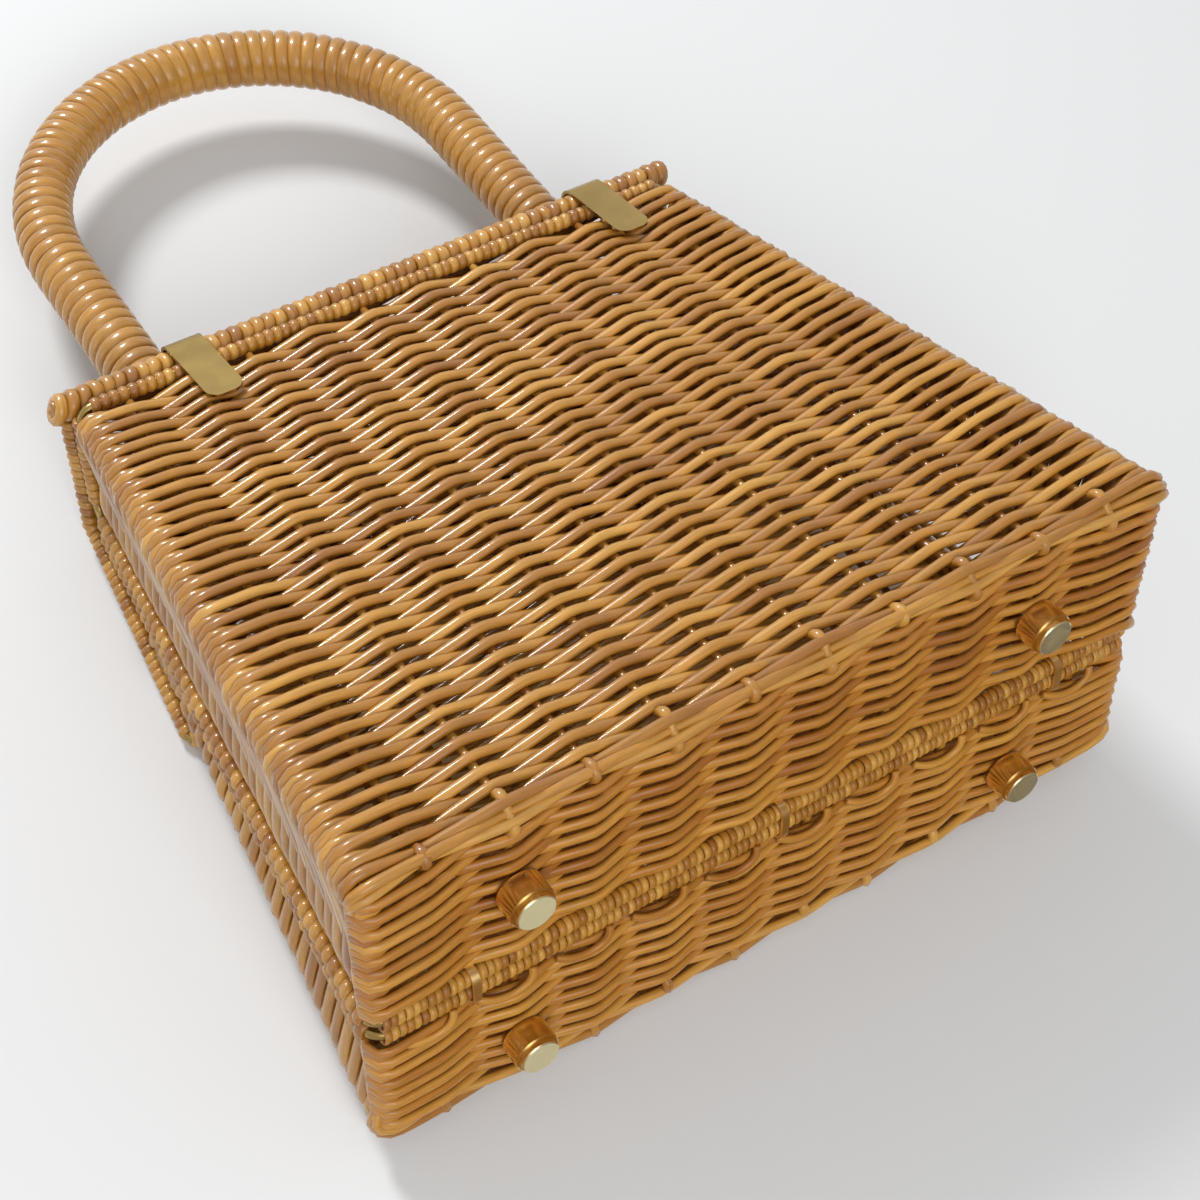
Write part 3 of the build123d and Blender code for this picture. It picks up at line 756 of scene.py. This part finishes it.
# Brass, or bare cane with metallic at nought: a base colour with faint cloudy wear, and a roughness
# that varies a little. A foot's flat cap, below cap_height, may be painted paler: a painted reflection
# of the pale surroundings on the same brass.
def clouded(name, colour, roughness, worn, painted_cap_reflection=None, metallic=1.0):
    material, nodes, links, shader = new_material(name)
    shader.inputs["Metallic"].default_value = metallic
    place = nodes.new("ShaderNodeTexCoord")
    cloud = add_node(nodes, "TexNoise", Scale=90.0, Detail=4.0)
    links.new(place.outputs["Object"], cloud.inputs["Vector"])
    colours = nodes.new("ShaderNodeValToRGB")
    colours.color_ramp.elements[0].position = 0.3
    colours.color_ramp.elements[0].color = (*[c * (1 - worn) for c in colour], 1)
    colours.color_ramp.elements[1].position = 0.7
    colours.color_ramp.elements[1].color = (*colour, 1)
    links.new(cloud.outputs["Fac"], colours.inputs["Fac"])
    # Below cap_height the colour turns to the paler cap colour: a painted reflection on the flat brass
    # cap
    if painted_cap_reflection:
        height = nodes.new("ShaderNodeSeparateXYZ")
        links.new(place.outputs["Object"], height.inputs["Vector"])
        under = nodes.new("ShaderNodeMath")
        under.operation = "LESS_THAN"
        under.inputs[1].default_value = cap_height * MM
        links.new(height.outputs["Z"], under.inputs[0])
        painted_reflection_mix = nodes.new("ShaderNodeMix")
        painted_reflection_mix.data_type = "RGBA"
        painted_reflection_mix.inputs["B"].default_value = (*painted_cap_reflection, 1)
        links.new(under.outputs["Value"], painted_reflection_mix.inputs["Factor"])
        links.new(colours.outputs["Color"], painted_reflection_mix.inputs["A"])
        links.new(painted_reflection_mix.outputs["Result"], shader.inputs["Base Color"])
    else:
        links.new(colours.outputs["Color"], shader.inputs["Base Color"])
    rough = add_node(nodes, "MapRange", To_Min=roughness * 0.75, To_Max=roughness * 1.3)
    links.new(cloud.outputs["Fac"], rough.inputs["Value"])
    links.new(rough.outputs["Result"], shader.inputs["Roughness"])
    return material


honey = cane("honey_cane", (0.34, 0.125, 0.01), (0.49, 0.215, 0.02), (0.66, 0.34, 0.055))
amber = cane("amber_cane", (0.35, 0.115, 0.008), (0.49, 0.195, 0.016), (0.63, 0.3, 0.04))
handle_cane = cane("handle_cane", (0.37, 0.15, 0.01), (0.47, 0.21, 0.018), (0.58, 0.29, 0.035), 0.8)
satin_brass = clouded("satin_brass", (0.42, 0.29, 0.1), 0.26, 0.16)
ring_brass = clouded("ring_brass", (0.95, 0.75, 0.36), 0.34, 0.1)
# The feet's flat caps get a near-white cream: a painted reflection on the same brass
gold_brass = clouded("gold_brass", (0.97, 0.7, 0.26), 0.22, 0.1, (0.99, 0.94, 0.76))
core_cane = clouded("core_cane", (0.3, 0.17, 0.08), 0.6, 0.3, metallic=0.0)


# Give a piece its finish and its body, and name the solids that it replaces
def dress(piece, material, body, slot_name, *nodes):
    piece.data.materials.append(material)
    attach(piece, body)
    if nodes:
        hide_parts(*nodes)
    return piece


dress(
    strand_mesh("back_weave", back_shell_strands()), honey, "bag", "woven_cane",
    "back_wall", "back_left_wall", "back_right_wall",
)
dress(
    strand_mesh("front_weave", front_shell_strands()), honey, "bag", "woven_cane",
    "front_wall", "front_left_wall", "front_right_wall",
)


frame_strands = wale_strands(1, back_depth_bottom, 0.0) + stake_strands(1, back_depth, no_swell)
frame_strands += corner_strands(1, back_depth) + side_stake_strands(1, back_depth, 2)
dress(strand_mesh("back_stakes", frame_strands), honey, "bag", "woven_cane")
frame_strands = wale_strands(-1, front_depth_bottom, front_bow)
frame_strands += stake_strands(-1, front_depth, front_swell)
frame_strands += corner_strands(-1, front_depth) + side_stake_strands(-1, front_depth, 1)
dress(strand_mesh("front_stakes", frame_strands), honey, "bag", "woven_cane")
dress(
    strand_mesh("back_floor_weave", floor_strands(1, back_depth_bottom, 0.0)), amber, "bag",
    "woven_cane", "back_floor",
)
dress(
    strand_mesh("front_floor_weave", floor_strands(-1, front_depth_bottom, front_bow)), amber,
    "bag", "woven_cane", "front_floor",
)
dress(
    strand_mesh("back_rim_wraps", back_rim_strands(), 6, True), honey, "bag", "wound_cane",
    "back_rim_winding",
)
dress(
    strand_mesh("front_rim_wraps", front_rim_strands(), 6, True), honey, "bag", "wound_cane",
    "front_rim_winding",
)
dress(strand_mesh("hooked_ends", hook_strands()), amber, "bag", "woven_cane")

# Lid: top sheet, flap, roll and edges
top_middle_z = lid_top_z - lid_thickness / 2
lid_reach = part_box("lid_top")[1].x / MM
top_sheet = sheet_strands(
    (0, roll_y - roll_radius - 1.0, top_middle_z), (0, lid_front_y + 1.0, top_middle_z),
    lid_reach, lid_reach, (0, 0, 1), 0,
)
dress(strand_mesh("lid_top_weave", top_sheet), honey, "lid", "woven_cane", "lid_top")
flap_low = flap_box[0].z / MM - underside
flap_high = flap_box[1].z / MM - underside
flap_low_y = flap_box[0].y / MM - seam_y + flap_middle
flap_high_y = lid_front_y + flap_middle
flap_out = np.array([0, -(flap_high - flap_low), flap_high_y - flap_low_y])
flap_out = tuple(flap_out / np.linalg.norm(flap_out))
flap_reach = flap_box[1].x / MM
flap_reach_top = flap_reach - (half_width(flap_low) - half_width(flap_high))
flap_sheet = sheet_strands(
    (0, flap_low_y, flap_low + 1), (0, flap_high_y, flap_high - 0.5),
    flap_reach, flap_reach_top, flap_out, 1,
)
dress(strand_mesh("flap_weave", flap_sheet), honey, "lid", "woven_cane", "flap")

roll_line = np.array([(-roll_half, roll_y, roll_z), (roll_half, roll_y, roll_z)], float)
roll_turns = winding(roll_line[0], roll_line[1], roll_radius, **roll_wrap)
# Turned-in cane closes both ends of the roll
for hand in (1, -1):
    for inward, reach in ((0.9, 3.2), (0.5, 1.7)):
        turn = np.arange(roll_end_sides) * tau / roll_end_sides
        out = np.stack([np.zeros(roll_end_sides), np.cos(turn), np.sin(turn)], 1)
        middle = np.array([hand * (roll_half - inward), roll_y, roll_z])
        roll_turns.append(strand(middle + out * reach / 2, out, roll_end_half_height, reach / 2))
dress(strand_mesh("lid_roll_turns", roll_turns, 8, True), honey, "lid", "wound_cane", "lid_roll")
edge_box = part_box("lid_edge_winding")
lid_edge_x = roll_half - lid_edge_inset
low_edge_z = edge_box[0].z / MM - underside + flap_edge_inset
low_edge_y = edge_box[0].y / MM - seam_y + flap_edge_inset
low_edge_x = edge_box[1].x / MM - flap_edge_inset
edges = []
for hand in (1, -1):
    corner = (hand * lid_edge_x, flap_high_y, top_middle_z)
    behind = (hand * lid_edge_x, roll_y - roll_radius - 0.1, roll_z)
    below = (hand * low_edge_x, low_edge_y, low_edge_z)
    edges += winding(behind, corner, lid_edge_radius, **lid_edge_wrap)
    edges += winding(corner, below, flap_edge_radius, **flap_edge_wrap)
low_start, low_end = ((x, low_edge_y, low_edge_z) for x in (-low_edge_x, low_edge_x))
edges += winding(low_start, low_end, flap_edge_radius, **flap_edge_wrap)
dress(strand_mesh("lid_edge_turns", edges, 6, True), honey, "lid", "wound_cane", "lid_edge_winding")

# Handle: one strip wound along the arch
handle_radius = (wound_box[1].x - core_box[1].x) / MM + core_radius
half_span = core_box[1].x / MM - core_radius
core_low_y = core_box[0].y / MM - seam_y + core_radius * cos(handle_lean)
core_low_z = core_box[0].z / MM - underside
handle_foot_y = core_low_y + (lid_top_z - core_low_z) * sin(handle_lean) / cos(handle_lean)
arch_top = (core_box[1].z / MM - underside - core_radius - lid_top_z) / cos(handle_lean)
leg = arch_top - half_span
flat = [(-half_span, h) for h in np.linspace(handle_foot, leg, 20)]
flat += [(-half_span * cos(a), leg + half_span * sin(a)) for a in np.linspace(0, pi, 60)[1:-1]]
flat += [(half_span, h) for h in np.linspace(leg, handle_foot, 20)]
handle_line = np.array([
    (x, handle_foot_y + h * sin(handle_lean), lid_top_z + h * cos(handle_lean)) for x, h in flat
])
wound = long_winding(handle_line, handle_radius, handle_pitch, handle_half_thick)
dress(strand_mesh("handle_strip", [wound], 10), handle_cane, "lid", "wound_cane", "handle_winding")

# Finishes of the solids that stay in view
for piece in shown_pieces():
    if piece.name in ("back_rim_rod", "front_rim_rod", "lid_rod") or piece.name.startswith(
        ("strap", "clasp", "handle_washer", "foot_washer")
    ):
        finish = satin_brass
    elif piece.name.startswith("hinge_ring"):
        finish = ring_brass
    elif piece.name.startswith("foot_"):
        finish = gold_brass
    elif piece.name == "handle_core":
        finish = core_cane
    else:
        continue
    piece.data.materials.clear()
    piece.data.materials.append(finish)


# One for camera, glossy and transmission rays, and nought for all other light
def looking_rays(nodes, links):
    rays = nodes.new("ShaderNodeLightPath")
    seen = rays.outputs["Is Camera Ray"]
    for kind in ("Is Glossy Ray", "Is Transmission Ray"):
        either = nodes.new("ShaderNodeMath")
        either.operation = "MAXIMUM"
        links.new(seen, either.inputs[0])
        links.new(rays.outputs[kind], either.inputs[1])
        seen = either.outputs["Value"]
    return seen


# Stage: a pale floor under the feet and a pale board against the front, each seen from one side.
# Camera, glossy and transmission rays meet them, so brass shows them too and they keep the bag's
# shadow. Other light passes them and reaches the underside of the bag.
def one_sided(name, colour):
    material, nodes, links, shader = new_material(name)
    shader.inputs["Base Color"].default_value = (*colour, 1)
    shader.inputs["Roughness"].default_value = 0.8
    shader.inputs["Specular IOR Level"].default_value = 0.2
    facing = nodes.new("ShaderNodeNewGeometry")
    clear = nodes.new("ShaderNodeBsdfTransparent")
    choose = nodes.new("ShaderNodeMixShader")
    unseen = nodes.new("ShaderNodeMath")
    unseen.operation = "SUBTRACT"
    unseen.inputs[0].default_value = 1.0
    either = nodes.new("ShaderNodeMath")
    either.operation = "MAXIMUM"
    links.new(looking_rays(nodes, links), unseen.inputs[1])
    links.new(unseen.outputs["Value"], either.inputs[0])
    links.new(facing.outputs["Backfacing"], either.inputs[1])
    links.new(either.outputs["Value"], choose.inputs["Fac"])
    links.new(shader.outputs["BSDF"], choose.inputs[1])
    links.new(clear.outputs["BSDF"], choose.inputs[2])
    links.new(choose.outputs["Shader"], nodes["Material Output"].inputs["Surface"])
    return material


pale = one_sided("pale_paper", (0.72, 0.73, 0.74))
stage_size = 8.0
bpy.ops.mesh.primitive_plane_add(size=stage_size, location=(0, 0, 0))
floor = bpy.context.object
floor.name = "floor"
floor.data.materials.append(pale)
board_lean = radians(10.5)
bpy.ops.mesh.primitive_plane_add(size=stage_size, location=(0, 0, 0))
board = bpy.context.object
board.name = "board"
board.data.materials.append(pale)
board_clearance = 0.6
board_y = seam_y - front_depth_bottom - front_bow - board_clearance
board_foot = Vector((0, board_y * MM, underside * MM))
board.data.transform(
    Matrix.Translation(board_foot) @ Matrix.Rotation(-pi / 2 - board_lean, 4, "X")
)


# Light: a soft lamp high behind the bag, a larger one low behind it, a weak one from its side at
# +X, and a pale world
def soft_lamp(name, toward, distance, size, power):
    lamp = bpy.data.lights.new(name, "AREA")
    lamp.shape = "DISK"
    lamp.size = size
    lamp.energy = power
    holder = bpy.data.objects.new(name, lamp)
    direction = Vector(toward).normalized()
    holder.location = lamp_target + direction * distance
    holder.rotation_euler = direction.to_track_quat("Z", "Y").to_euler()
    bpy.context.scene.collection.objects.link(holder)


lamp_target = Vector((0, 0, 0.15))
soft_lamp("window", (0.1, 0.8, 0.6), 1.7, 0.42, 19.0)
soft_lamp("low_window", (0.25, 0.45, -0.9), 1.8, 1.0, 17.0)
soft_lamp("side_window", (0.9, 0.1, 0.3), 1.9, 0.9, 1.5)
world = bpy.data.worlds.new("pale_world")
bpy.context.scene.world = world
world.use_nodes = True
world_nodes, world_links = world.node_tree.nodes, world.node_tree.links
world_nodes["Background"].inputs["Color"].default_value = (0.92, 0.92, 0.91, 1)
# Camera, glossy and transmission rays see a paler world than the light it gives
brightness = add_node(world_nodes, "MapRange", To_Min=0.52, To_Max=0.95)
world_links.new(looking_rays(world_nodes, world_links), brightness.inputs["Value"])
world_links.new(brightness.outputs["Result"], world_nodes["Background"].inputs["Strength"])

# Camera at the photograph's place
camera_place = Vector((0.2454, 0.4634, -0.2719))
camera_turn = Euler((radians(133.9666), radians(33.399), radians(179.8678)))
focal_pixels = 2262.5
frame_pixels = 1200
centre_across = 593.3
centre_down = 599.3
camera = bpy.data.cameras.new("camera")
camera.sensor_width = 36.0
camera.lens = focal_pixels / frame_pixels * camera.sensor_width
camera.shift_x = (frame_pixels / 2 - centre_across) / frame_pixels
camera.shift_y = (centre_down - frame_pixels / 2) / frame_pixels
camera_object = bpy.data.objects.new("camera", camera)
camera_object.location = camera_place
camera_object.rotation_euler = camera_turn
bpy.context.scene.collection.objects.link(camera_object)
bpy.context.scene.camera = camera_object
bpy.context.scene.view_settings.view_transform = "Standard"
